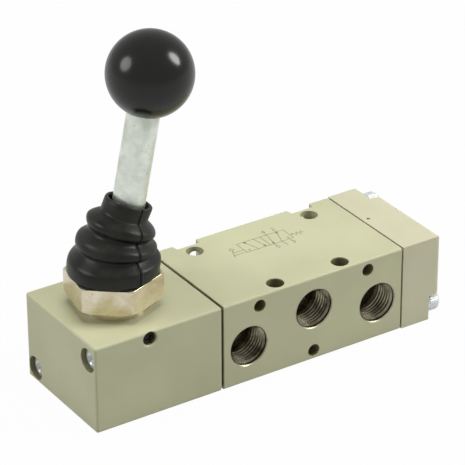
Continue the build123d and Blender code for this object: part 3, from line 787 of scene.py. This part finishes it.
for label, build, node_name, metal in (
        ("block_screws", build_block_screws, "housing_screws", SCREW_ZINC_AND_SHEEN),
        ("cap_screws", build_cap_screws, "end_cap_screws", SCREW_ZINC_AND_SHEEN),
        ("locking_screw", build_locking_screw, "nut_grub_screw", BLACK_STEEL)):
    piece = piece_from(label, build, smooth=False)
    piece.data.materials.append(metal)
    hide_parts(node_name)
    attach(piece, "valve")


# ------------------------------------------------------------------ circuit symbol printed on top

INK_WIDTH = 0.13
INK_OVERLAP = 0.6
INK_LIFT = 0.012 * MM
BOX_LEFT = -6.4
BOX_MIDDLE = 0.2
BOX_RIGHT = 6.8
BOX_LOW = 3.1
BOX_HIGH = 7.7
OUTLETS = {"4": BOX_MIDDLE + 1.9, "2": BOX_MIDDLE + 4.7}
INLETS = {"5": BOX_MIDDLE + 1.1, "1": BOX_MIDDLE + 3.3, "3": BOX_MIDDLE + 5.5}
STUB = 0.7
STOP_STEM = 0.9
STOP_HALF_BAR = 0.35
BARB_LENGTH = 0.75
BARB_HALF_WIDTH = 0.28
GRIP_RADIUS = 0.5
GRIP_SEGMENTS = 16
SPRING_LOW = 3.7
SPRING_HIGH = 5.1
DIGIT_WIDTH = 1.3
DIGIT_HEIGHT = 1.25
DIGIT_STROKES = {
    "1": [(0.25, 0.75), (0.5, 1.0), (0.5, 0.0)],
    "2": [(0.1, 0.78), (0.22, 0.95), (0.4, 1.0), (0.58, 0.93), (0.65, 0.75), (0.58, 0.55), (0.1, 0.0),
          (0.68, 0.0)],
    "3": [(0.1, 0.88), (0.35, 1.0), (0.6, 0.88), (0.62, 0.7), (0.35, 0.54), (0.63, 0.4), (0.66, 0.2),
          (0.38, 0.0), (0.08, 0.12)],
    "4": [(0.55, 0.0), (0.55, 1.0), (0.05, 0.3), (0.72, 0.3)],
    "5": [(0.62, 1.0), (0.18, 1.0), (0.12, 0.56), (0.4, 0.63), (0.62, 0.5), (0.66, 0.28), (0.5, 0.04),
          (0.28, 0.0), (0.08, 0.1)]}


def arrow(start, end):
    """Strokes of an arrow from start to end."""
    tip = Vector(end)
    run = (tip - Vector(start)).normalized()
    side = Vector((-run.y, run.x)) * BARB_HALF_WIDTH
    back = tip - run * BARB_LENGTH
    return [[start, end], [back + side, tip, back - side, back + side]]


def closed_port(x):
    """Strokes of a blocked port: a short stem and its bar."""
    top = BOX_LOW + STOP_STEM
    return [[(x, BOX_LOW), (x, top)], [(x - STOP_HALF_BAR, top), (x + STOP_HALF_BAR, top)]]


def lever_strokes():
    """Strokes of the hand lever at the symbol's left."""
    grip = [(BOX_LEFT - 2.4 + GRIP_RADIUS * cos(turn), 6.05 + GRIP_RADIUS * sin(turn))
            for turn in (2 * pi * i / GRIP_SEGMENTS for i in range(GRIP_SEGMENTS + 1))]
    return [[(BOX_LEFT, 4.6), (BOX_LEFT - 2.9, 4.6)], [(BOX_LEFT, 3.4), (BOX_LEFT - 3.4, 3.4)],
            [(BOX_LEFT - 3.7, 2.6), (BOX_LEFT - 2.6, 5.6)], grip]


def spring_stroke():
    """The zigzag of the spring at the symbol's right."""
    zigzag = [(BOX_RIGHT + 0.8 + 0.6 * i, SPRING_LOW if i % 2 else SPRING_HIGH) for i in range(5)]
    return [(BOX_RIGHT, 4.4), (BOX_RIGHT + 0.5, 4.4), *zigzag, (BOX_RIGHT + 3.6, 4.0)]


def symbol_strokes():
    """A five-port two-position valve symbol, in millimetres on the body's top."""
    strokes = [[(BOX_LEFT, BOX_LOW), (BOX_RIGHT, BOX_LOW), (BOX_RIGHT, BOX_HIGH), (BOX_LEFT, BOX_HIGH),
                (BOX_LEFT, BOX_LOW)], [(BOX_MIDDLE, BOX_LOW), (BOX_MIDDLE, BOX_HIGH)]]
    for x in OUTLETS.values():
        strokes.append([(x, BOX_HIGH), (x, BOX_HIGH + STUB)])
    for x in INLETS.values():
        strokes.append([(x, BOX_LOW), (x, BOX_LOW - STUB)])
    shift = BOX_LEFT - BOX_MIDDLE
    strokes += arrow((OUTLETS["4"], BOX_HIGH), (INLETS["5"], BOX_LOW))
    strokes += arrow((INLETS["1"], BOX_LOW), (OUTLETS["2"], BOX_HIGH))
    strokes += closed_port(INLETS["3"])
    strokes += arrow((INLETS["1"] + shift, BOX_LOW), (OUTLETS["4"] + shift, BOX_HIGH))
    strokes += arrow((OUTLETS["2"] + shift, BOX_HIGH), (INLETS["3"] + shift, BOX_LOW))
    strokes += closed_port(INLETS["5"] + shift)
    strokes += lever_strokes()
    strokes.append(spring_stroke())
    for places, base in ((OUTLETS, BOX_HIGH + 0.95), (INLETS, BOX_LOW - 2.2)):
        for digit, x in places.items():
            strokes.append([(x - 0.45 + across * DIGIT_WIDTH, base + up * DIGIT_HEIGHT)
                            for across, up in DIGIT_STROKES[digit]])
    return strokes


def build_symbol(bm):
    """A thin flat strip of ink for each part of each stroke."""
    height = body_high.z + INK_LIFT
    for stroke in symbol_strokes():
        for start, end in zip(stroke, stroke[1:]):
            run = (Vector(end) - Vector(start)).normalized() * INK_WIDTH / 2
            side = Vector((-run.y, run.x))
            tail = Vector(start) - run * INK_OVERLAP
            nose = Vector(end) + run * INK_OVERLAP
            corners = (tail + side, tail - side, nose - side, nose + side)
            bm.faces.new([bm.verts.new((corner.x * MM, corner.y * MM, height)) for corner in corners])


symbol = piece_from("circuit_symbol", build_symbol, smooth=False)
symbol.data.materials.append(INK)
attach(symbol, "valve")


# ------------------------------------------------------------------ stage, light and camera

FLOOR_COLOUR = (0.5, 0.5, 0.49, 1.0)
FLOOR_SEEN = 0.975
FLOOR_MIRRORED = 0.65
WORLD_LIGHT = 0.22
WORLD_MIRRORED = 0.6
LAMP_TARGET = Vector((-10 * MM, 0, 30 * MM))
SENSOR_WIDTH = 36.0
LENS = 212.80568
CAMERA_PLACE = Vector((-318.12 * MM, -468.27 * MM, 333.83 * MM))
CAMERA_RIGHT = Vector((0.83640147, -0.54810633, -0.00346848))
CAMERA_UP = Vector((0.26388242, 0.39711785, 0.87901279))
CAMERA_BACK = Vector((-0.48041508, -0.73612286, 0.47678558))


def mirrored_share(tree, path, share):
    """A share for rays that come by way of a reflection or through glass, else 0."""
    rays = math_node(tree, "MAXIMUM", path.outputs["Is Glossy Ray"], path.outputs["Is Transmission Ray"])
    return math_node(tree, "MULTIPLY", rays, share)


def floor_finish():
    """Shows as white to the camera and, in part, in reflections, yet keeps the object's shadow."""
    material, tree, surface = new_material("floor_white", roughness=0.9, specular=0.1)
    surface.inputs["Base Color"].default_value = FLOOR_COLOUR
    glow = tree.nodes.new("ShaderNodeEmission")
    glow.inputs["Strength"].default_value = 1.0
    mix = tree.nodes.new("ShaderNodeMixShader")
    tree.links.new(surface.outputs[0], mix.inputs[1])
    tree.links.new(glow.outputs[0], mix.inputs[2])
    path = tree.nodes.new("ShaderNodeLightPath")
    seen = math_node(tree, "MULTIPLY", path.outputs["Is Camera Ray"], FLOOR_SEEN)
    shown = math_node(tree, "MAXIMUM", seen, mirrored_share(tree, path, FLOOR_MIRRORED))
    tree.links.new(shown, mix.inputs[0])
    tree.links.new(mix.outputs[0], tree.nodes["Material Output"].inputs["Surface"])
    return material


def light_world():
    """An even pale surround: white to the camera, dim as a light."""
    world = bpy.data.worlds.new("studio")
    bpy.context.scene.world = world
    world.use_nodes = True
    tree = world.node_tree
    background = tree.nodes["Background"]
    background.inputs["Color"].default_value = (1, 1, 1, 1)
    path = tree.nodes.new("ShaderNodeLightPath")
    mirrored = mirrored_share(tree, path, WORLD_MIRRORED)
    shown = math_node(tree, "MAXIMUM", path.outputs["Is Camera Ray"], mirrored)
    tree.links.new(math_node(tree, "MAXIMUM", shown, WORLD_LIGHT), background.inputs["Strength"])


def add_lamp(name, place, size, power, mirrored=True):
    """A soft area lamp that faces the object's middle."""
    data = bpy.data.lights.new(name, "AREA")
    data.shape = "ELLIPSE"
    data.size = size[0]
    data.size_y = size[1]
    data.energy = power
    lamp = bpy.data.objects.new(name, data)
    bpy.context.scene.collection.objects.link(lamp)
    lamp.location = place
    lamp.rotation_euler = (LAMP_TARGET - Vector(place)).to_track_quat("-Z", "Y").to_euler()
    lamp.visible_glossy = mirrored


def add_camera():
    """The scene's camera, set by its place and its three axes."""
    data = bpy.data.cameras.new("camera")
    data.sensor_width = SENSOR_WIDTH
    data.lens = LENS
    data.clip_start = 0.01
    data.clip_end = 20.0
    camera = bpy.data.objects.new("camera", data)
    bpy.context.scene.collection.objects.link(camera)
    turned = Matrix((CAMERA_RIGHT, CAMERA_UP, CAMERA_BACK)).transposed().to_4x4()
    camera.matrix_world = Matrix.Translation(CAMERA_PLACE) @ turned
    bpy.context.scene.camera = camera


floor = piece_from("floor", lambda bm: bmesh.ops.create_grid(bm, x_segments=1, y_segments=1, size=3.0))
floor.location = (0, 0, cad_box[0][2] - 0.02 * MM)
floor.data.materials.append(floor_finish())
light_world()
add_lamp("soft_left", (-0.65, 0.23, 0.43), (0.4, 0.4), 1.9)
add_lamp("soft_right", (0.55, -0.33, 0.50), (0.28, 0.42), 3.6)
add_lamp("soft_top", (0.0, 0.0, 0.8), (0.5, 0.5), 3.9, mirrored=False)
add_camera()
bpy.context.scene.view_settings.view_transform = "Standard"
